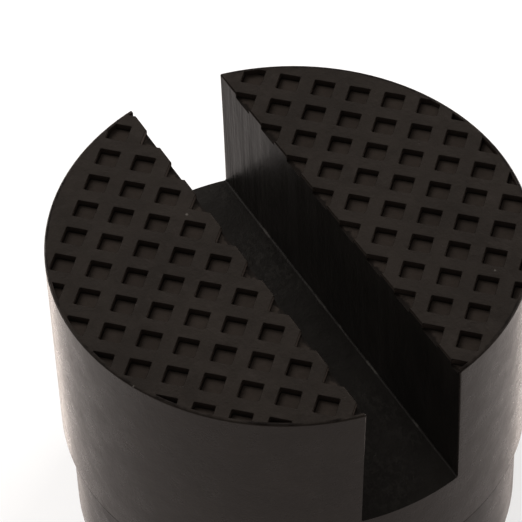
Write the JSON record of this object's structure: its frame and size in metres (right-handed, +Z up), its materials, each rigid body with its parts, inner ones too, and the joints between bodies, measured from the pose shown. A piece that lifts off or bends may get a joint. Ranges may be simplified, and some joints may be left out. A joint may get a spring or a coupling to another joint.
{
  "type": "rubber jack pad",
  "caption": "Round moulded rubber jack pad with a slot across its top for a sill flange, a waffle grip face and a slightly smaller foot.",
  "frame": {"origin": "centre of the flat underside", "axes": "+Z up out of the waffle face, X across the slot, Y along the slot"},
  "size_m": [0.065, 0.065, 0.05],
  "materials": {
    "black_rubber": "matt moulded"
  },
  "bodies": {
    "root": {"jack_pad": "black_rubber"}
  },
  "joints": []
}
